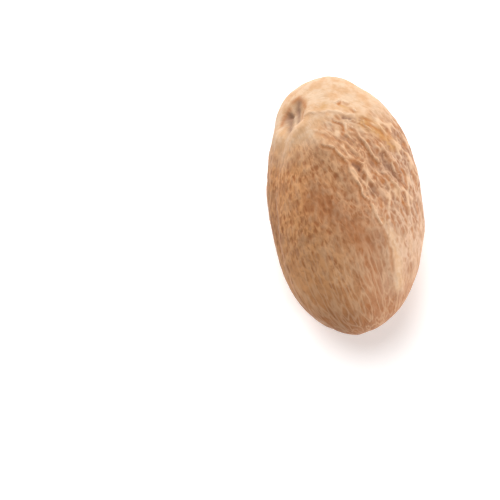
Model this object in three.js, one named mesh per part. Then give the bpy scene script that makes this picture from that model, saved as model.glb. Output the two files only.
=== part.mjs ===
// A whole nutmeg: the dried, egg-shaped seed of the nutmeg tree, lying on its side.
//
// Millimetres. +Y runs along the seed towards its scar (hilum) end and +Z is up. The origin is at the
// centre of the bounding box's underside, on the surface that the seed lies on. The seed is one solid.
// Its skin is a cube's faces blown up to an egg, then swollen, folded and dented by the functions below.
// Inside this file a point is measured from the middle of the egg until restOnFoot moves the whole.

import * as THREE from 'three';
import { ImprovedNoise } from 'three/addons/math/ImprovedNoise.js';
import { mergeVertices } from 'three/addons/utils/BufferGeometryUtils.js';

// Driving dimensions.
const LENGTH = 28.7;
const WIDTH = 17.1;
const HEIGHT = 16.6;
const END_TAPER = 0.02; // share of its girth that the far end loses and the scar end gains
const GRID = 24; // quads along each edge of the cube that becomes the skin

const HALF = new THREE.Vector3(WIDTH / 2, LENGTH / 2, HEIGHT / 2);

// Broad swells and hollows of the dried seed: which way each lies, how far it spreads as an angle from
// there in radians, and how far it stands above the egg.
const SWELLS = [
  { towards: [-0.97, 0.2, -0.06], spread: 0.6, rise: -1 },
  { towards: [-0.4, 0.85, 0.1], spread: 0.35, rise: 0.2 },
  { towards: [0.8, 0.6, 0.1], spread: 0.4, rise: 0.15 },
  { towards: [0.35, -0.92, -0.15], spread: 0.35, rise: -0.75 },
  { towards: [0.85, -0.5, -0.1], spread: 0.3, rise: 0.2 },
  { towards: [0.1, 0.75, -0.65], spread: 0.5, rise: 0.3 },
];

// The scar that the fruit's stalk left, near one end, and the dimple (chalaza) near the other.
const SCAR = { towards: [-0.5, 0.64, 0.58], radius: 1.9, depth: 0.55, rim: 0.16 };
const DIMPLE = { towards: [0.1, -0.93, -0.3], radius: 1.4, depth: 0.35, rim: 0.08 };

// The shallow groove (raphe) that joins them down the flank, as directions from the egg's middle.
const GROOVE_ROUTE = [
  [-0.62, 0.48, 0.62],
  [-0.77, 0.32, 0.55],
  [-0.88, 0.1, 0.46],
  [-0.93, -0.2, 0.3],
  [-0.72, -0.62, 0.05],
  [-0.2, -0.9, -0.24],
];
const GROOVE = { halfWidth: 0.75, depth: 0.3 };

// The long crest on the upper side, which parts the smooth flank from the wrinkled one.
const CREST_ROUTE = [
  [-0.4, 0.5, 0.77],
  [-0.13, 0.3, 0.94],
  [0.05, 0.05, 1],
  [0.22, -0.22, 0.93],
  [0.4, -0.45, 0.8],
  [0.46, -0.72, 0.5],
];
const CREST = { halfWidth: 0.85, height: 0.28 };

// Broad unevenness: lumps of any direction, and folds that run from the scar to the dimple.
const LUMPS = { size: 6.5, height: 0.34 };
const FOLDS = { across: 2.1, along: 9, height: 0.2 };

const FOOT_DEPTH = 0.4; // how much of the underside is worn flat, where the seed rests
const ROUTE_STEPS = 60; // points along a groove or crest
const SEED_COLOUR = 0xc99a6e;

const noise = new ImprovedNoise();

const bump = (distance, halfWidth) => Math.exp(-((distance / halfWidth) ** 2));

const direction = ([x, y, z]) => new THREE.Vector3(x, y, z).normalize();

// The egg's surface in a direction given on the unit sphere.
function eggPoint(unit) {
  const girth = 1 + END_TAPER * unit.y;
  return new THREE.Vector3(unit.x * HALF.x * girth, unit.y * HALF.y, unit.z * HALF.z * girth);
}

function eggNormal(unit) {
  return new THREE.Vector3(unit.x / HALF.x, unit.y / HALF.y, unit.z / HALF.z).normalize();
}

// How far the swells and hollows lift the skin in a direction.
function swell(unit) {
  const lift = ({ towards, spread, rise }) => rise * bump(unit.angleTo(direction(towards)), spread);
  return SWELLS.reduce((sum, one) => sum + lift(one), 0);
}

// A round dent with a raised rim: negative inside the radius, a little positive round it.
function dent(distance, { radius, depth, rim }) {
  const share = distance / radius;
  const bowl = -depth * Math.exp(-(share ** 4));
  return bowl + rim * Math.exp(-(((share - 1.35) / 0.35) ** 2));
}

// A route's points on the egg.
function routePoints(route) {
  const curve = new THREE.CatmullRomCurve3(route.map(direction));
  return curve.getPoints(ROUTE_STEPS).map((point) => eggPoint(point.normalize()));
}

function distanceToRoute(point, points) {
  return Math.min(...points.map((other) => other.distanceTo(point)));
}

const scarCentre = eggPoint(direction(SCAR.towards));
const dimpleCentre = eggPoint(direction(DIMPLE.towards));
const grooveLine = routePoints(GROOVE_ROUTE);
const crestLine = routePoints(CREST_ROUTE);
const seedAxis = scarCentre.clone().sub(dimpleCentre).normalize();

// Noise drawn out along the line from dimple to scar, so that it makes folds that run that way.
function foldNoise(point) {
  const along = point.dot(seedAxis);
  const across = point.clone().addScaledVector(seedAxis, -along).divideScalar(FOLDS.across);
  const drawnOut = across.addScaledVector(seedAxis, along / FOLDS.along);
  return noise.noise(drawnOut.x, drawnOut.y, drawnOut.z);
}

function lumpNoise(point) {
  return noise.noise(point.x / LUMPS.size, point.y / LUMPS.size, point.z / LUMPS.size);
}

// How far the finer relief stands above the swollen egg, in millimetres.
function relief(point) {
  return (
    LUMPS.height * lumpNoise(point) +
    FOLDS.height * foldNoise(point) +
    dent(point.distanceTo(scarCentre), SCAR) +
    dent(point.distanceTo(dimpleCentre), DIMPLE) -
    GROOVE.depth * bump(distanceToRoute(point, grooveLine), GROOVE.halfWidth) +
    CREST.height * bump(distanceToRoute(point, crestLine), CREST.halfWidth)
  );
}

// A cube's vertices spread evenly over the unit sphere, joined into one closed mesh.
function evenSphere() {
  const cube = new THREE.BoxGeometry(2, 2, 2, GRID, GRID, GRID);
  cube.deleteAttribute('normal');
  cube.deleteAttribute('uv');
  const sphere = mergeVertices(cube, 1e-4);
  const spots = sphere.getAttribute('position');
  const spread = (share) => Math.tan((share * Math.PI) / 4);
  for (let i = 0; i < spots.count; i++) {
    const spot = new THREE.Vector3().fromBufferAttribute(spots, i);
    spot.set(spread(spot.x), spread(spot.y), spread(spot.z)).normalize();
    spots.setXYZ(i, spot.x, spot.y, spot.z);
  }
  return sphere;
}

// Centres the skin over the origin and flattens what would reach below the resting plane.
function restOnFoot(geometry) {
  geometry.computeBoundingBox();
  const { min, max } = geometry.boundingBox;
  geometry.translate(-(min.x + max.x) / 2, -(min.y + max.y) / 2, -(min.z + FOOT_DEPTH));
  const spots = geometry.getAttribute('position');
  for (let i = 0; i < spots.count; i++) {
    spots.setZ(i, Math.max(spots.getZ(i), 0));
  }
}

function seedSkin() {
  const skin = evenSphere();
  const spots = skin.getAttribute('position');
  for (let i = 0; i < spots.count; i++) {
    const unit = new THREE.Vector3().fromBufferAttribute(spots, i);
    const egg = eggPoint(unit);
    const point = egg.clone().addScaledVector(eggNormal(unit), swell(unit) + relief(egg));
    spots.setXYZ(i, point.x, point.y, point.z);
  }
  restOnFoot(skin);
  skin.computeVertexNormals();
  return skin;
}

const seed = new THREE.Mesh(
  seedSkin(),
  new THREE.MeshStandardMaterial({ color: SEED_COLOUR, roughness: 0.75, metalness: 0 }),
);
seed.name = 'nutmeg_seed';

const nutmeg = new THREE.Group();
nutmeg.add(seed);

export default nutmeg;
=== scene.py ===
"""A whole nutmeg lying on its side: the wrinkled skin that replaces the plain CAD seed, and the studio.

Lengths in this file are millimetres until a mesh, light or camera is made, where MM turns them into metres.
A place on the seed is given as a share of the CAD box's half sides, measured from the box's middle, so
(0, 0, 1) is the highest point and (0, 1, 0) is the far end. The seed's own axis runs from the dimple
(chalaza) to the scar (hilum), and its wrinkles run along the meridians of that axis.
"""

import math
from collections import namedtuple

import bmesh
import bpy
import numpy as np
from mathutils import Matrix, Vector, noise
from mathutils.bvhtree import BVHTree


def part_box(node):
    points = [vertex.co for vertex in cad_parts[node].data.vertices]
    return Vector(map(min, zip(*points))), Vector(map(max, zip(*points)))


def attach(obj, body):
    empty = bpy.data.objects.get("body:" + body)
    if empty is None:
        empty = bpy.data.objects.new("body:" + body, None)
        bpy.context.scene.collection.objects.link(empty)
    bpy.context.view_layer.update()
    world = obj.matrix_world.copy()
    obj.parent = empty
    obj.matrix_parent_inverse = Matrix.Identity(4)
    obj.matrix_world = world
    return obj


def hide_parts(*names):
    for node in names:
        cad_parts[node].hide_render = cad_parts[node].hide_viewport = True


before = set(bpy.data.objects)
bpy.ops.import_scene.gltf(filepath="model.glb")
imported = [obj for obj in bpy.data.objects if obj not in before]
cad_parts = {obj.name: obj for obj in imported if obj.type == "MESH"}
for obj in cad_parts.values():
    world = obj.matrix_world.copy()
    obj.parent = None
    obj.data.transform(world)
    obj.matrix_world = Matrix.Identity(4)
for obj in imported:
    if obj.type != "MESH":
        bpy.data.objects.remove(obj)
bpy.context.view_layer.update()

MM = 0.001

# The skin's grid: quads round the seed's girth on each of four sides, and along it on each side.
AROUND = 118
ALONG = 148

# The ends of the seed's own axis, and a place on the main crest, from which angles round it are measured.
SCAR = (-0.5, 0.64, 0.58)
DIMPLE = (0.1, -0.93, -0.3)
CREST_PLACE = (0.09, 0.0, 0.98)
# The distance from the axis at which wrinkles and streaks have the sizes given for them.
GIRTH_RADIUS = 8.0

# Crests on the upper side. A route's places are seen from above, and a furrow runs along its right hand.
Crest = namedtuple("Crest", "height half_width furrow route")
CRESTS = [
    # The long crest down the middle, in steps that overlap.
    Crest(0.19, 0.15, 0.1, [
        (-0.32, 0.33), (-0.17, 0.28), (-0.1, 0.22), (-0.03, 0.17), (0.01, 0.09), (0.05, -0.07),
    ]),
    Crest(0.2, 0.15, 0.1, [(0.02, 0.07), (0.08, 0.0), (0.13, -0.05), (0.13, -0.1), (0.15, -0.15)]),
    Crest(0.18, 0.16, 0.08, [(0.15, -0.11), (0.21, -0.2), (0.27, -0.28), (0.31, -0.35)]),
    Crest(0.1, 0.32, 0.08, [(0.29, -0.32), (0.36, -0.41), (0.4, -0.51), (0.39, -0.6), (0.39, -0.7)]),
    Crest(0.11, 0.24, 0.08, [
        (-0.33, 0.46), (-0.24, 0.41), (-0.15, 0.36), (-0.06, 0.33), (0.03, 0.3), (0.1, 0.24),
    ]),
    # Two that run beside it, and the one at the right of the grey hollow.
    Crest(0.17, 0.18, 0.12, [
        (0.1, 0.45), (0.19, 0.41), (0.24, 0.33), (0.31, 0.24), (0.36, 0.18), (0.48, 0.07),
    ]),
    Crest(0.19, 0.16, 0.11, [(0.46, 0.07), (0.54, -0.01), (0.61, -0.09), (0.66, -0.16), (0.73, -0.25)]),
    Crest(0.14, 0.2, 0.11, [
        (0.42, 0.31), (0.49, 0.24), (0.57, 0.17), (0.66, 0.11), (0.69, 0.05), (0.67, -0.03),
    ]),
    # The rims of the lens-shaped hollows between them.
    Crest(0.14, 0.15, 0.14, [(0.01, 0.17), (0.12, 0.15), (0.19, 0.1), (0.19, 0.05)]),
    Crest(0.1, 0.14, 0.07, [(0.03, 0.1), (0.08, 0.06), (0.15, 0.05)]),
    Crest(0.12, 0.15, 0.13, [(0.2, 0.05), (0.25, 0.0), (0.29, -0.06)]),
    Crest(0.12, 0.2, 0.1, [(0.27, 0.08), (0.36, 0.07), (0.43, 0.02), (0.45, -0.05)]),
    Crest(0.11, 0.18, 0.08, [(0.35, -0.12), (0.37, -0.18), (0.32, -0.28)]),
    Crest(0.09, 0.18, 0.06, [(0.42, -0.22), (0.35, -0.28), (0.31, -0.33)]),
    Crest(0.11, 0.2, 0.08, [(0.61, 0.08), (0.66, 0.0), (0.73, -0.05)]),
    Crest(0.1, 0.2, 0.07, [(0.85, 0.12), (0.87, 0.03), (0.91, -0.05)]),
    # The arc from the scar over the top, and two crests under it.
    Crest(0.13, 0.26, 0.03, [
        (-0.42, 0.59), (-0.33, 0.6), (-0.2, 0.6), (-0.05, 0.58), (0.2, 0.53), (0.27, 0.46),
    ]),
    Crest(0.15, 0.2, 0.12, [(-0.11, 0.52), (0.01, 0.49), (0.07, 0.44), (0.08, 0.39), (0.01, 0.35)]),
    Crest(0.14, 0.24, 0.1, [(0.34, 0.48), (0.43, 0.45), (0.53, 0.4), (0.62, 0.34), (0.67, 0.3)]),
    # Three grains on the pale skin beyond the arc.
    Crest(0.22, 0.17, 0.1, [(0.01, 0.66), (0.09, 0.69)]),
    Crest(0.2, 0.15, 0.08, [(0.12, 0.68), (0.19, 0.65)]),
    Crest(0.2, 0.17, 0.08, [(0.2, 0.61), (0.26, 0.56)]),
    # The low crest up the left side to the scar.
    Crest(0.08, 0.4, 0.0, [(-0.85, 0.1), (-0.76, 0.3), (-0.63, 0.4), (-0.47, 0.49), (-0.38, 0.54)]),
]

# Hollows and stains on the upper side, and swellings, whose depth is negative. The mask colours them, in
# some with painted light or shade as said below.
Hollow = namedtuple("Hollow", "depth half_width mask route")
HOLLOWS = [
    # The grey hollow at the right, the smaller ones between the crests, and a slit under the arc, darkened
    # partly in their own tone and partly with painted shade.
    Hollow(0.2, 0.42, "deep", [(0.46, 0.2), (0.53, 0.13), (0.59, 0.08), (0.65, 0.0)]),
    Hollow(0.13, 0.27, "deep", [(0.07, 0.12), (0.12, 0.1), (0.15, 0.08)]),
    Hollow(0.12, 0.28, "deep", [(0.17, 0.0), (0.22, -0.04), (0.26, -0.09)]),
    Hollow(0.1, 0.35, "hollow", [(0.44, -0.05), (0.5, -0.1), (0.53, -0.16)]),
    Hollow(0.09, 0.35, "hollow", [(0.3, 0.17), (0.36, 0.12), (0.42, 0.05)]),
    Hollow(0.14, 0.2, "deep", [(0.07, 0.52), (0.11, 0.505), (0.15, 0.5)]),
    # Ochre skin by the grains and at the upper right.
    Hollow(0.07, 0.4, "ochre", [(-0.12, 0.66), (-0.16, 0.63)]),
    Hollow(0.05, 0.3, "ochre", [(0.06, 0.65), (0.13, 0.62)]),
    Hollow(0.0, 0.8, "ochre", [(0.34, 0.46), (0.45, 0.42), (0.55, 0.36), (0.62, 0.3)]),
    # The fuller shoulder at the far right, and the swelling below the scar.
    Hollow(-0.38, 2.0, None, [
        (-0.1, 0.88), (0.22, 0.87), (0.45, 0.78), (0.67, 0.58), (0.82, 0.38), (0.9, 0.1),
    ]),
    Hollow(-0.3, 1.9, None, [(-0.5, 0.28), (-0.35, 0.3), (-0.2, 0.28)]),
    # Lighter skin below the scar and along the long crest's last step, partly pale skin and partly painted
    # light, with rosier skin beside it, partly painted sheen, and a browner patch, partly painted shade.
    Hollow(0.0, 1.2, "fair_and_lit", [(-0.55, 0.41), (-0.4, 0.43), (-0.22, 0.41)]),
    Hollow(0.0, 0.7, "fair_and_lit", [(0.32, -0.3), (0.41, -0.42), (0.45, -0.55), (0.44, -0.75)]),
    Hollow(0.0, 1.6, "rosy", [(0.36, -0.25), (0.46, -0.42), (0.5, -0.55), (0.49, -0.75)]),
    Hollow(0.0, 1.8, "brown", [(-0.4, -0.1), (-0.05, -0.35), (0.08, -0.5), (0.14, -0.85)]),
    # The scar: two grey patches, the pit at the head of one, darkened partly with painted shade, and rust
    # round them.
    Hollow(0.12, 0.64, "scar", [(-0.58, 0.65), (-0.58, 0.6)]),
    Hollow(0.09, 0.46, "scar", [(-0.58, 0.6), (-0.6, 0.52)]),
    Hollow(0.13, 0.5, "scar", [(-0.43, 0.73), (-0.45, 0.67)]),
    Hollow(0.1, 0.33, "scar", [(-0.45, 0.67), (-0.48, 0.57)]),
    Hollow(0.32, 0.32, "deep", [(-0.57, 0.67), (-0.54, 0.65)]),
    Hollow(0.0, 0.38, "rust", [(-0.55, 0.72), (-0.62, 0.68), (-0.67, 0.62)]),
    Hollow(0.0, 0.34, "rust", [(-0.47, 0.78), (-0.42, 0.78), (-0.37, 0.73), (-0.36, 0.67)]),
    Hollow(0.0, 0.2, "rust", [(-0.4, 0.64), (-0.45, 0.56)]),
]

# How strongly the skin is wrinkled at angles round the seed's axis, from the main crest to the right.
WRINKLED_AT = [
    (-180, 0.5),
    (-150, 0.65),
    (-120, 0.45),
    (-90, 0.2),
    (-50, 0.08),
    (-12, 0.12),
    (0, 0.8),
    (15, 1.0),
    (50, 0.95),
    (75, 0.55),
    (105, 0.4),
    (140, 0.6),
    (180, 0.5),
]
# And how strongly at distances along the axis, from the dimple (0) to the scar (1).
WRINKLED_FROM_DIMPLE = [
    (0.0, 0.15),
    (0.15, 0.22),
    (0.35, 0.4),
    (0.5, 0.75),
    (0.6, 1.0),
    (0.8, 1.05),
    (0.92, 0.65),
    (1.0, 0.1),
]


def smoothstep(low, high, value):
    """0 at low and 1 at high, with a smooth rise between them."""
    share = np.clip((value - low) / (high - low), 0, 1)
    return share * share * (3 - 2 * share)


def bell(distance, half_width):
    """1 at no distance, falling off smoothly to about a third at the half width."""
    return np.exp(-((distance / half_width) ** 2))


def unit(rows):
    return rows / np.maximum(np.linalg.norm(rows, axis=-1, keepdims=True), 1e-9)


def rough(points, size, seed):
    """Soft noise from -1 to 1 whose features are about `size` across."""
    offset = Vector((seed * 17.3, seed * 5.1, seed * 29.7))
    return np.array([noise.noise(Vector(p) + offset) for p in (points / size).tolist()])


def rough_vector(points, size, seed):
    return np.stack([rough(points, size, seed + step * 0.37) for step in range(3)], axis=1)


def drift(points, layers):
    """A push for each point: layers of soft noise, each with its size, amount and seed."""
    return sum(rough_vector(points, size, seed) * amount for size, amount, seed in layers)


# ---------------------------------------------------------------------------------------------------
# The smooth seed

WELD_DISTANCE = 1e-3
SUBDIVISIONS = 2


def subdivided(node):
    """The CAD seed as a smooth closed surface, in a tree that rays can be cast at."""
    shape = bmesh.new()
    shape.from_mesh(node.data)
    bmesh.ops.scale(shape, verts=shape.verts, vec=(1 / MM, 1 / MM, 1 / MM))
    bmesh.ops.remove_doubles(shape, verts=shape.verts, dist=WELD_DISTANCE)
    any_angle = math.pi
    bmesh.ops.join_triangles(
        shape, faces=shape.faces, angle_face_threshold=any_angle, angle_shape_threshold=any_angle
    )
    mesh = bpy.data.meshes.new("smooth_seed")
    shape.to_mesh(mesh)
    shape.free()
    smooth = bpy.data.objects.new("smooth_seed", mesh)
    bpy.context.scene.collection.objects.link(smooth)
    smooth.modifiers.new("round", "SUBSURF").levels = SUBDIVISIONS
    tree = BVHTree.FromObject(smooth, bpy.context.evaluated_depsgraph_get())
    bpy.data.objects.remove(smooth)
    bpy.data.meshes.remove(mesh)
    return tree


def box_grid(cells):
    """The surface of a box of that many cells each way: its points from -1 to 1, and its quads."""
    numbers = {}
    quads = []

    def number(spot):
        return numbers.setdefault(spot, len(numbers))

    for axis in range(3):
        first, second = (axis + 1) % 3, (axis + 2) % 3
        for side in (0, cells[axis]):
            for i in range(cells[first]):
                for j in range(cells[second]):
                    corners = []
                    for di, dj in ((0, 0), (1, 0), (1, 1), (0, 1)):
                        spot = [0, 0, 0]
                        spot[axis], spot[first], spot[second] = side, i + di, j + dj
                        corners.append(number(tuple(spot)))
                    quads.append(corners if side else corners[::-1])
    points = np.array(list(numbers), float) / np.array(cells) * 2 - 1
    return points, quads


def egg_rays(points, half):
    """Directions from the seed's middle, spread evenly over an egg of those half sides."""
    sphere = unit(np.tan(points * math.pi / 4))
    return unit(sphere * half)


def cast(tree, middle, rays):
    found = [tree.ray_cast(Vector(middle), Vector(ray))[0] for ray in rays.tolist()]
    return np.array([tuple(spot) for spot in found])


def make_mesh(name, points, quads):
    mesh = bpy.data.meshes.new(name)
    mesh.from_pydata((points * MM).tolist(), [], quads)
    mesh.update()
    return mesh


def vertex_normals(points, quads):
    mesh = make_mesh("normals", points, quads)
    normals = np.zeros(len(points) * 3, np.float32)
    mesh.vertex_normals.foreach_get("vector", normals)
    bpy.data.meshes.remove(mesh)
    return normals.reshape(-1, 3).astype(float)


# ---------------------------------------------------------------------------------------------------
# Places on the seed


class Seed:
    """The smooth seed's points with their places along and round its axis."""

    def __init__(self, tree, points, normals, low, high):
        self.tree = tree
        self.points = points
        self.normals = normals
        self.middle = (low + high) / 2
        self.half = (high - low) / 2
        self.scar = self.place(SCAR)
        self.dimple = self.place(DIMPLE)
        self.axis = unit(self.scar - self.dimple)
        self.length = np.linalg.norm(self.scar - self.dimple)
        self.share, self.outward, self.radius = self.around_axis(points)
        ahead = self.around_axis(self.place(CREST_PLACE)[None])[1][0]
        right = np.cross(self.axis, ahead)
        if right[0] < 0:
            right = -right
        self.right, self.ahead = right, ahead
        self.angle = np.degrees(np.arctan2(self.outward @ right, self.outward @ ahead))

    def place(self, share):
        """The point of the smooth seed in the direction of a share of the half sides."""
        ray = unit(np.array(share) * self.half)
        return cast(self.tree, self.middle, ray[None])[0]

    def place_from_above(self, share):
        """The highest point of the smooth seed at a share of the half sides along X and Y."""
        above = self.middle + np.array([share[0], share[1], 2]) * self.half
        return np.array(self.tree.ray_cast(Vector(above), Vector((0, 0, -1)))[0])

    def around_axis(self, points):
        """How far points are along the axis as a share, their direction from it, and their distance."""
        from_dimple = points - self.dimple
        along = from_dimple @ self.axis
        across = from_dimple - along[:, None] * self.axis
        return along / self.length, unit(across), np.linalg.norm(across, axis=1)

    def flow(self, convergence, stretch):
        """Places on a tube round the axis, in which the meridians run straight along Z."""
        girth = GIRTH_RADIUS * (self.radius / GIRTH_RADIUS) ** (1 - convergence)
        sideways = girth * (self.outward @ self.right)
        forward = girth * (self.outward @ self.ahead)
        return np.stack([sideways, forward, self.share * self.length / stretch], axis=1)

    def shifted(self, flow, distance):
        """The same places moved to the right round the tube."""
        angle = np.radians(self.angle)
        shift = np.stack([np.cos(angle), -np.sin(angle), np.zeros(len(angle))], axis=1)
        return flow + shift * distance


def route_distance(seed, points, route):
    """Each point's distance from a route, its share of the way along, and its side (+ is right)."""
    stops = np.array([seed.place_from_above(stop) for stop in route])
    best = np.full(len(points), np.inf)
    share = np.zeros(len(points))
    side = np.zeros(len(points))
    for index, (start, end) in enumerate(zip(stops[:-1], stops[1:])):
        step = end - start
        part = np.clip((points - start) @ step / (step @ step), 0, 1)
        gap = points - start - part[:, None] * step
        distance = np.linalg.norm(gap, axis=1)
        nearer = distance < best
        best[nearer] = distance[nearer]
        share[nearer] = (index + part[nearer]) / (len(stops) - 1)
        turn = np.cross(step, seed.normals[nearer])
        side[nearer] = np.sign(np.einsum("ij,ij->i", gap[nearer], turn))
    return best, share, side


def crest_net(places, sharpness, seed):
    """Ridges between the cells of a scattered net, 1 on a ridge, and how far into its cell a place is."""
    offset = Vector((seed * 3.7, seed * 11.9, seed * 7.3))
    gaps = np.zeros(len(places))
    for row, place in enumerate(places.tolist()):
        nearest = noise.voronoi(Vector(place) + offset)[0]
        gaps[row] = nearest[1] - nearest[0]
    return bell(gaps, sharpness), gaps


# ---------------------------------------------------------------------------------------------------
# The relief


# How soft noise moves the net of wrinkles and the placed crests: the size, amount and seed of each layer.
NET_DRIFT = [(3.2, 0.5, 1.0), (1.1, 0.2, 2.0), (0.5, 0.08, 2.5)]
CREST_DRIFT = [(1.3, 0.2, 10.0), (0.5, 0.13, 10.5)]

# How far soft noise moves the ends of a zone, in degrees round the axis and as a share along it, and the
# distances from the axis where the wrinkles start and are in full.
ANGLE_WOBBLE = 9
SHARE_WOBBLE = 0.05
FADE_RADII = (1.5, 5.0)

# The net: the size of its cells, how far a foot's furrow lies from its crest, the size and the half width
# of the long wrinkles that meander through it, and its heights and depths.
COARSE_CELL = 1.05
FINE_CELL = 0.6
FOOT_SHIFT = 0.26
MEANDER_SIZE = 0.9
MEANDER_HALF_WIDTH = 0.12
COARSE_HEIGHT = 0.125
FINE_HEIGHT = 0.045
CELL_DEPTH = 0.07
FOOT_DEPTH = 0.02

# The heights of the streaks along the meridians, of the grain, and of the lumps at the scar end.
STREAK_HEIGHT = 0.045
FINE_STREAK_HEIGHT = 0.025
GRAIN_HEIGHT = 0.01
LUMP_HEIGHT = 0.03
BROAD_LUMP_HEIGHT = 0.08

# Beside a placed crest: how far from its top its furrow and the rust on its shaded side are, and their half
# widths. That rust is partly the skin's own orange-brown and partly painted shade.
FURROW_OFFSET = 0.25
FURROW_HALF_WIDTH = 0.17
RUST_AND_SHADE_OFFSET = 0.2
RUST_AND_SHADE_HALF_WIDTH = 0.25
# What a placed crest's height and furrow are multiplied by, and the values that are coloured in full.
CREST_GAIN = 1.1
FURROW_GAIN = 0.8
FULL_CREST = 0.15
FULL_FURROW = 0.1

Net = namedtuple("Net", "coarse fine feet cells")


def wobbly_share(seed, size, noise_seed, amount=SHARE_WOBBLE):
    """How far each point is along the axis, with soft noise, so that nothing ends at a straight line."""
    return seed.share + amount * rough(seed.points, size, noise_seed)


def wrinkled_zone(seed):
    """How strongly the skin is wrinkled at each point. The wrinkles end before they reach the axis."""
    angles, strengths = zip(*WRINKLED_AT)
    wobbly_angle = seed.angle + ANGLE_WOBBLE * rough(seed.points, 3.5, 3.0)
    zone = np.interp(wobbly_angle, angles, strengths)
    shares, strengths = zip(*WRINKLED_FROM_DIMPLE)
    zone *= np.interp(wobbly_share(seed, 3.0, 4.0), shares, strengths)
    return zone * smoothstep(*FADE_RADII, seed.radius)


def wrinkle_net(seed, warp):
    """A coarse and a fine net of wrinkles that come and go. The coarse ones have a furrow at the left."""
    tube = seed.flow(convergence=0.8, stretch=2.7)
    long_tube = seed.flow(convergence=0.8, stretch=4.0)
    fine_tube = seed.flow(convergence=0.65, stretch=2.0)
    feet_tube = seed.shifted(tube, FOOT_SHIFT)
    coarse, coarse_gap = crest_net((tube + warp) / COARSE_CELL, sharpness=0.22, seed=1.0)
    foot, _ = crest_net((feet_tube + warp) / COARSE_CELL, sharpness=0.2, seed=1.0)
    fine, _ = crest_net((fine_tube + warp * 1.3) / FINE_CELL, sharpness=0.3, seed=2.0)
    off_meander = np.abs(rough(long_tube + warp * 1.4, MEANDER_SIZE, 2.2))
    meander = np.clip(1 - off_meander / MEANDER_HALF_WIDTH, 0, 1) ** 1.3
    presence = smoothstep(-0.3, 0.3, rough(seed.points, 1.5, 5.0))
    foot_presence = smoothstep(-0.25, 0.35, rough(seed.points, 0.7, 5.5))
    fine_presence = smoothstep(-0.2, 0.4, rough(seed.points, 1.8, 6.0))
    return Net(
        coarse=np.maximum(coarse * (0.3 + 0.7 * presence), 0.9 * meander * (1 - 0.7 * presence)),
        fine=fine * (0.2 + 0.8 * fine_presence),
        feet=foot * foot_presence * (1 - coarse),
        cells=smoothstep(0.12, 0.45, coarse_gap),
    )


def net_height(net):
    crests = COARSE_HEIGHT * net.coarse + FINE_HEIGHT * net.fine
    return crests - CELL_DEPTH * net.cells - FOOT_DEPTH * net.feet


def first_masks(seed, zone, net, scar_end, veined):
    """Where the skin's ground colours and the net's colours show, before anything is placed on it."""
    p = seed.points
    across, away, _ = ((p - seed.middle) / seed.half).T
    masks = {name: np.zeros(len(p)) for name in ("ochre", "rust", "deep", "scar")}
    masks["crest"] = smoothstep(0, 0.8, zone) * np.maximum(0.85 * net.coarse, 0.5 * net.fine)
    # The net's furrows at the left of its crests, on their shaded side: partly their own brown, partly
    # painted shade.
    masks["furrow"] = smoothstep(0, 0.6, zone) * net.feet
    # The floors of the net's cells, darker partly in their own tone and partly with painted shade.
    masks["hollow"] = smoothstep(0, 0.9, zone) * (0.48 + 0.42 * net.cells)
    # The scar end's pale skin; the placed lighter patches join it, and those are partly painted light.
    masks["fair_and_lit"] = scar_end
    masks["veined"] = veined
    # Browner towards the dimple end: partly the skin's own darker end, partly painted shade.
    masks["brown"] = smoothstep(0.32, 0.04, wobbly_share(seed, 2.0, 19.0, 0.03))
    # Rosier and paler towards the right: partly the skin's own tone, partly painted sheen and light on that
    # side.
    masks["rosy"] = smoothstep(-0.1, 0.9, across - 0.4 * away + 0.2 * rough(p, 2.5, 15.0))
    # Browner towards the left: partly the skin's own tone, partly painted shade on that side.
    masks["brown_and_shaded_left"] = smoothstep(0.15, -0.75, across + 0.2 * away + 0.2 * rough(p, 2.5, 16.0))
    return masks


def placed_crests(seed, places, masks):
    """The height of the crests that were placed one by one. The masks gain them and the rust on their
    shaded sides, which is partly painted shade.
    """
    height = np.zeros(len(places))
    unevenness = 0.6 + 0.4 * smoothstep(-0.3, 0.3, rough(seed.points, 0.5, 11.0))
    for crest in CRESTS:
        distance, share, side = route_distance(seed, places, crest.route)
        fade = smoothstep(0, 0.12, share) * smoothstep(1, 0.85, share) * unevenness
        ridge = bell(distance, crest.half_width) * fade
        furrow = bell(distance - side * FURROW_OFFSET, FURROW_HALF_WIDTH) * fade
        rust_and_shade = bell(distance - side * RUST_AND_SHADE_OFFSET, RUST_AND_SHADE_HALF_WIDTH) * fade
        height += CREST_GAIN * crest.height * ridge - FURROW_GAIN * crest.furrow * furrow
        masks["crest"] = np.maximum(masks["crest"], ridge * crest.height / FULL_CREST)
        masks["furrow"] = np.maximum(masks["furrow"], rust_and_shade * crest.furrow / FULL_FURROW)
    return height


def placed_hollows(seed, places, masks):
    """The depth of the hollows that were placed one by one. The masks gain them."""
    depth = np.zeros(len(places))
    for hollow in HOLLOWS:
        distance = route_distance(seed, places, hollow.route)[0]
        dip = bell(distance, hollow.half_width)
        depth += hollow.depth * dip
        if hollow.mask:
            masks[hollow.mask] = np.maximum(masks[hollow.mask], dip)
    return depth


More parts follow.
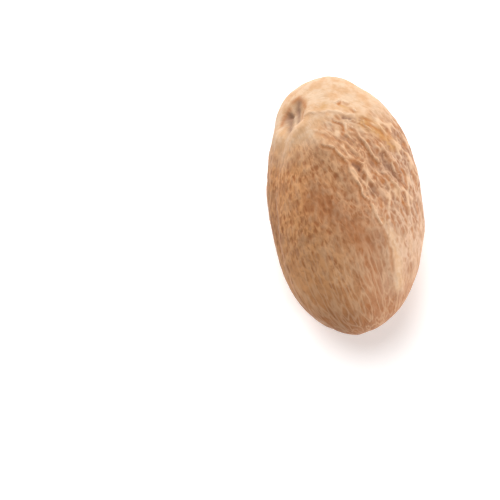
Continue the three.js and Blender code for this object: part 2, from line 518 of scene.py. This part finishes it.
def relief(seed):
    """The height of the skin over the smooth seed, and the masks that colour it."""
    p = seed.points
    warp = drift(p, NET_DRIFT)
    zone = wrinkled_zone(seed)
    net = wrinkle_net(seed, warp)

    # Fine streaks along the meridians, weaker where veins show and at the scar end, which is lumpy instead.
    streaks = rough(seed.flow(convergence=0.7, stretch=1.7) + warp, 0.6, 7.0)
    fine_streaks = rough(seed.flow(convergence=0.5, stretch=1.5) + warp, 0.3, 8.0)
    grain = rough(p, 0.24, 9.0)
    lumps = LUMP_HEIGHT * rough(p, 1.1, 18.0) + BROAD_LUMP_HEIGHT * rough(p, 2.6, 20.0)
    scar_end = smoothstep(0.76, 0.97, wobbly_share(seed, 2.0, 14.0))
    veined = smoothstep(0.55, 0.25, wobbly_share(seed, 2.0, 17.0))
    streaked = (1 - 0.8 * scar_end) * (1 - 0.65 * veined)
    texture = STREAK_HEIGHT * streaks + FINE_STREAK_HEIGHT * fine_streaks + GRAIN_HEIGHT * grain
    texture = texture * streaked + lumps * scar_end

    masks = first_masks(seed, zone, net, scar_end, veined)
    wandering = p + drift(p, CREST_DRIFT)
    placed = placed_crests(seed, wandering, masks) - placed_hollows(seed, wandering, masks)
    height = zone * net_height(net) + texture + placed

    masks["crest"] = smoothstep(0.3, 1.0, masks["crest"])
    masks["hollow"] = masks["hollow"] * (1 - masks["crest"])
    masks["deep"] = masks["deep"] * (1 - masks["crest"])
    flecked = streaked * (1 - 0.6 * zone)
    masks["pale"] = flecked * smoothstep(-0.1, 0.55, streaks + 0.5 * fine_streaks)
    masks["dark"] = flecked * smoothstep(0.1, 0.6, -streaks - 0.6 * fine_streaks)
    return height, {name: np.clip(mask, 0, 1) for name, mask in masks.items()}


def add_masks(mesh, masks):
    for name, values in masks.items():
        layer = mesh.attributes.new(name, "FLOAT", "POINT")
        layer.data.foreach_set("value", values.astype(np.float32))


def add_flow(mesh, places):
    layer = mesh.attributes.new("flow", "FLOAT_VECTOR", "POINT")
    layer.data.foreach_set("vector", places.astype(np.float32).ravel())


def nutmeg_skin(node):
    low, high = (np.array(corner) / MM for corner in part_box(node.name))
    tree = subdivided(node)
    points, quads = box_grid((AROUND, ALONG, AROUND))
    half = (high - low) / 2
    middle = (low + high) / 2
    smooth = cast(tree, middle, egg_rays(points, half))
    seed = Seed(tree, smooth, vertex_normals(smooth, quads), low, high)
    height, masks = relief(seed)
    skin = smooth + seed.normals * height[:, None]
    skin[:, 2] = np.maximum(skin[:, 2], 0)
    mesh = make_mesh("nutmeg_skin", skin, quads)
    mesh.polygons.foreach_set("use_smooth", [True] * len(mesh.polygons))
    add_masks(mesh, masks)
    add_flow(mesh, seed.flow(convergence=0.6, stretch=1.0))
    piece = bpy.data.objects.new("nutmeg_skin", mesh)
    bpy.context.scene.collection.objects.link(piece)
    return piece


# ---------------------------------------------------------------------------------------------------
# Materials


class Graph:
    """Short names for making and joining a material's nodes."""

    def __init__(self, name):
        self.material = bpy.data.materials.new(name)
        self.material.use_nodes = True
        self.tree = self.material.node_tree
        self.shader = self.tree.nodes["Principled BSDF"]

    def put(self, socket, value):
        if isinstance(value, bpy.types.NodeSocket):
            self.tree.links.new(value, socket)
        else:
            socket.default_value = value

    def attribute(self, name, output="Fac"):
        node = self.tree.nodes.new("ShaderNodeAttribute")
        node.attribute_name = name
        return node.outputs[output]

    def object_place(self):
        """Object coordinates in millimetres."""
        place = self.tree.nodes.new("ShaderNodeTexCoord").outputs["Object"]
        return self.scaled(place, (1 / MM, 1 / MM, 1 / MM))

    def scaled(self, vector, scale):
        node = self.tree.nodes.new("ShaderNodeVectorMath")
        node.operation = "MULTIPLY"
        self.put(node.inputs[0], vector)
        self.put(node.inputs[1], scale)
        return node.outputs[0]

    def noise(self, vector, size, detail=2.0, roughness=0.5, output="Fac"):
        node = self.tree.nodes.new("ShaderNodeTexNoise")
        self.put(node.inputs["Vector"], vector)
        self.put(node.inputs["Scale"], 1 / size)
        self.put(node.inputs["Detail"], detail)
        self.put(node.inputs["Roughness"], roughness)
        return node.outputs[output]

    def warped(self, vector, size, amount):
        """Places pushed about by soft noise, by up to about half the amount."""
        push = self.scaled(self.noise(vector, size, 2, 0.5, "Color"), (amount,) * 3)
        node = self.tree.nodes.new("ShaderNodeVectorMath")
        self.put(node.inputs[0], vector)
        self.put(node.inputs[1], push)
        return node.outputs[0]

    def edges(self, vector, size):
        """How far each place is from the nearest edge of a scattered net of cells, as a share of a cell."""
        node = self.tree.nodes.new("ShaderNodeTexVoronoi")
        node.feature = "DISTANCE_TO_EDGE"
        self.put(node.inputs["Vector"], vector)
        self.put(node.inputs["Scale"], 1 / size)
        return node.outputs["Distance"]

    def ramp(self, value, low, high, start=0.0, end=1.0):
        node = self.tree.nodes.new("ShaderNodeMapRange")
        node.interpolation_type = "SMOOTHSTEP"
        for name, number in (("From Min", low), ("From Max", high), ("To Min", start), ("To Max", end)):
            self.put(node.inputs[name], number)
        self.put(node.inputs["Value"], value)
        return node.outputs["Result"]

    def math(self, operation, *values):
        node = self.tree.nodes.new("ShaderNodeMath")
        node.operation = operation
        for socket, value in zip(node.inputs, values):
            self.put(socket, value)
        return node.outputs[0]

    def mix(self, share, first, second):
        node = self.tree.nodes.new("ShaderNodeMix")
        node.data_type = "RGBA"
        colours = [socket for socket in node.inputs if socket.type == "RGBA"]
        self.put(node.inputs["Factor"], share)
        self.put(colours[0], first)
        self.put(colours[1], second)
        return next(socket for socket in node.outputs if socket.type == "RGBA")

    def layer(self, colour, mask, strength, tint):
        """The colour with a tint laid over it where a mask shows: an attribute's name, or a socket."""
        if isinstance(mask, str):
            mask = self.attribute(mask)
        return self.mix(self.math("MULTIPLY", mask, strength), colour, tint)

    def bump(self, height, distance, normal=None):
        node = self.tree.nodes.new("ShaderNodeBump")
        self.put(node.inputs["Height"], height)
        self.put(node.inputs["Distance"], distance)
        if normal is not None:
            self.put(node.inputs["Normal"], normal)
        return node.outputs["Normal"]


# The skin's colours. Where the masks lay them, some also stand partly for light and shade: ROSE on the
# right side for painted sheen, PALE_CREAM and HONEY on the lighter patches for painted light, and UMBER and
# TAN on the left side and the dimple end, and RUST, HOLLOW_TAN and DEEP_BROWN in furrows and hollows, for
# painted shade.
PALE_CREAM = (0.775, 0.56, 0.38, 1)
HONEY = (0.685, 0.41, 0.222, 1)
CREAM = (0.775, 0.505, 0.31, 1)
SAND = (0.69, 0.38, 0.198, 1)
ROSE = (0.76, 0.515, 0.355, 1)
UMBER = (0.71, 0.345, 0.143, 1)
TAN = (0.41, 0.15, 0.051, 1)
BROWN = (0.28, 0.09, 0.03, 1)
RUST = (0.50, 0.185, 0.055, 1)
OCHRE = (0.60, 0.32, 0.115, 1)
PATCH_BROWN = (0.355, 0.162, 0.075, 1)
HOLLOW_TAN = (0.34, 0.17, 0.095, 1)
DEEP_BROWN = (0.25, 0.12, 0.07, 1)
SCAR_GREY = (0.34, 0.19, 0.12, 1)

# The size of the brown cells, and how wide the veins are, as a step of the noise that they follow.
CELL_SIZE = 0.6
VEIN_HALF_WIDTH = 0.12
# How far the bumps of the grain and of the pale lines stand out.
GRAIN_BUMP = 0.014
LINE_BUMP = 0.018


def ground_colour(g):
    """The ground tone, which differs from side to side: rosier and paler to the right, partly painted
    sheen, and browner to the left, down the lower middle and at the dimple end, partly painted shade.
    """
    ground = g.mix(g.attribute("rosy"), SAND, ROSE)
    ground = g.mix(g.attribute("brown_and_shaded_left"), ground, UMBER)
    return g.layer(ground, "brown", 0.78, TAN)


def with_cells(g, place, ground, lines, blotches):
    """Pale lines between small brown cells, broken by blotches, and browner patches."""
    tone = g.math("MULTIPLY_ADD", lines, 0.65, g.math("MULTIPLY_ADD", blotches, 0.7, -0.06))
    colour = g.mix(tone, TAN, ground)
    patches = g.ramp(g.noise(place, 1.5, 3, 0.65), 0.42, 0.65)
    return g.layer(colour, patches, 0.5, PATCH_BROWN)


def with_veins(g, flow, colour, ground):
    """Softer skin with long veins towards the dimple."""
    long_fibre = g.warped(g.scaled(flow, (1, 1, 0.22)), 0.8, 0.5)
    off_vein = g.math("ABSOLUTE", g.math("SUBTRACT", g.noise(long_fibre, 0.7, 1), 0.5))
    veins = g.math("MULTIPLY", g.ramp(off_vein, 0, VEIN_HALF_WIDTH, 1, 0), g.attribute("veined"))
    soft = g.mix(g.ramp(g.noise(long_fibre, 0.9), 0.3, 0.7), colour, ground)
    colour = g.layer(colour, "veined", 0.75, soft)
    return g.layer(colour, veins, 0.42, CREAM)


def with_smooth_skin(g, place, colour):
    """Smooth pale skin with a honey tint at the scar end and on the lighter patches, which are partly
    painted light.
    """
    mottle = g.ramp(g.noise(place, 1.3, 3, 0.6), 0.33, 0.66)
    return g.layer(colour, "fair_and_lit", 0.9, g.mix(mottle, HONEY, PALE_CREAM))


def with_relief_colours(g, place, fibre, colour, lines):
    """What the relief shows: streaks, hollows, stains, furrows, crests and the scar, then small specks. The
    darkening of the hollows, furrows and deep places is partly painted shade.
    """
    light = g.mix(g.attribute("fair_and_lit"), CREAM, PALE_CREAM)
    ochre = g.math("MULTIPLY", g.attribute("ochre"), g.ramp(g.noise(place, 0.5), 0.25, 0.55))
    specks = g.ramp(g.noise(fibre, 0.16, 2, 0.6), 0.55, 0.68)
    for mask, strength, tint in (
        ("pale", 0.25, light),
        ("dark", 0.3, BROWN),
        # Hollows: partly their own tan, partly painted shade.
        ("hollow", g.ramp(lines, 0, 1, 0.9, 0.5), HOLLOW_TAN),
        (ochre, 0.8, OCHRE),
        ("rust", 0.72, RUST),
        # Rust in the furrows on the crests' shaded side: partly their own orange-brown, partly painted
        # shade.
        ("furrow", 0.8, RUST),
        # The deepest hollows and the scar's pit: partly their own dark brown, partly painted shade.
        ("deep", 0.8, DEEP_BROWN),
        ("crest", 0.85, light),
        ("scar", 0.9, SCAR_GREY),
        (specks, 0.06, BROWN),
    ):
        colour = g.layer(colour, mask, strength, tint)
    return colour


def skin_material():
    g = Graph("nutmeg_skin")
    place = g.object_place()
    flow = g.attribute("flow", "Vector")
    fibre = g.scaled(flow, (1, 1, 0.6))
    cells = g.edges(g.warped(fibre, 0.6, 0.5), CELL_SIZE)
    lines = g.ramp(cells, 0.0, 0.28, 1, 0)
    blotches = g.ramp(g.noise(fibre, 0.55, 2, 0.6), 0.36, 0.6)

    ground = ground_colour(g)
    colour = with_cells(g, place, ground, lines, blotches)
    colour = with_veins(g, flow, colour, ground)
    colour = with_smooth_skin(g, place, colour)
    colour = with_relief_colours(g, place, fibre, colour, lines)
    grain = g.bump(g.noise(fibre, 0.18, 2, 0.6), GRAIN_BUMP * MM)
    for socket, value in (
        ("Base Color", colour),
        ("Roughness", g.ramp(blotches, 0, 1, 0.8, 0.66)),
        ("Specular IOR Level", 0.22),
        ("Sheen Weight", 0.08),
        ("Sheen Roughness", 0.3),
        ("Sheen Tint", (1, 0.94, 0.88, 1)),
        ("Normal", g.bump(lines, LINE_BUMP * MM, grain)),
    ):
        g.put(g.shader.inputs[socket], value)
    return g.material


def floor_material():
    """A white floor that glows a little, with a faint cloudy tone."""
    g = Graph("studio_floor")
    tone = g.noise(g.object_place(), 60)
    for socket, value in (
        ("Base Color", g.mix(tone, (0.93, 0.92, 0.92, 1), (0.95, 0.94, 0.94, 1))),
        ("Roughness", 0.9),
        ("Specular IOR Level", 0.2),
        ("Emission Color", (1, 0.98, 0.98, 1)),
        ("Emission Strength", 0.32),
    ):
        g.put(g.shader.inputs[socket], value)
    return g.material


# ---------------------------------------------------------------------------------------------------
# The studio

CAMERA_AZIMUTH = -8.5
CAMERA_ELEVATION = 75.0
CAMERA_DISTANCE = 149.6
LENS = 100.0
SENSOR = 36.0
# How far right of and above the line of sight the seed's middle is.
AIM_OFFSET = (10.23, 4.95)
# The nearest and farthest things the camera shows, in metres.
CLIP_START = 0.01
CLIP_END = 10

FLOOR_HALF = 900.0
LIGHT_DISTANCE = 500
LIGHT_SIZE = 240
WARM_WHITE = (1, 0.99, 0.97)
WHITE = (1, 1, 1)
SKY_STRENGTH = 0.1


def make_floor():
    corners = np.array([(-1, -1, 0), (1, -1, 0), (1, 1, 0), (-1, 1, 0)]) * FLOOR_HALF
    floor = bpy.data.objects.new("studio_floor", make_mesh("studio_floor", corners, [(0, 1, 2, 3)]))
    floor.data.materials.append(floor_material())
    bpy.context.scene.collection.objects.link(floor)


def make_camera(middle):
    azimuth, elevation = math.radians(CAMERA_AZIMUTH), math.radians(CAMERA_ELEVATION)
    back = Vector(
        (
            math.sin(azimuth) * math.cos(elevation),
            -math.cos(azimuth) * math.cos(elevation),
            math.sin(elevation),
        )
    )
    right = Vector((math.cos(azimuth), math.sin(azimuth), 0))
    up = back.cross(right)
    data = bpy.data.cameras.new("camera")
    data.lens = LENS
    data.sensor_width = SENSOR
    data.clip_start = CLIP_START
    data.clip_end = CLIP_END
    camera = bpy.data.objects.new("camera", data)
    spot = middle + back * CAMERA_DISTANCE - right * AIM_OFFSET[0] - up * AIM_OFFSET[1]
    camera.location = spot * MM
    camera.rotation_euler = (-back).to_track_quat("-Z", "Y").to_euler()
    bpy.context.scene.collection.objects.link(camera)
    bpy.context.scene.camera = camera


def area_light(name, middle, towards, power, colour):
    data = bpy.data.lights.new(name, "AREA")
    data.shape = "DISK"
    data.size = LIGHT_SIZE * MM
    data.energy = power
    data.color = colour
    lamp = bpy.data.objects.new(name, data)
    direction = Vector(towards).normalized()
    lamp.location = (middle + direction * LIGHT_DISTANCE) * MM
    lamp.rotation_euler = (-direction).to_track_quat("-Z", "Y").to_euler()
    lamp.visible_camera = False
    bpy.context.scene.collection.objects.link(lamp)


def light_studio(middle):
    area_light("key", middle, (-0.05, 0.96, 0.27), 1.9, WARM_WHITE)
    area_light("fill", middle, (0.9, -0.34, 0.28), 1.85, WHITE)
    area_light("top", middle, (-0.2, 0.15, 1), 1.4, WHITE)
    world = bpy.data.worlds.new("studio")
    world.use_nodes = True
    sky = world.node_tree.nodes["Background"].inputs
    sky["Color"].default_value = (*WHITE, 1)
    sky["Strength"].default_value = SKY_STRENGTH
    bpy.context.scene.world = world


seed_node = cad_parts["nutmeg_seed"]
skin = nutmeg_skin(seed_node)
skin.data.materials.append(skin_material())
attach(skin, "root")
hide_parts("nutmeg_seed")

seed_low, seed_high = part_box("nutmeg_seed")
seed_middle = (seed_low + seed_high) / 2 / MM
make_floor()
make_camera(seed_middle)
light_studio(seed_middle)
bpy.context.scene.view_settings.view_transform = "Standard"
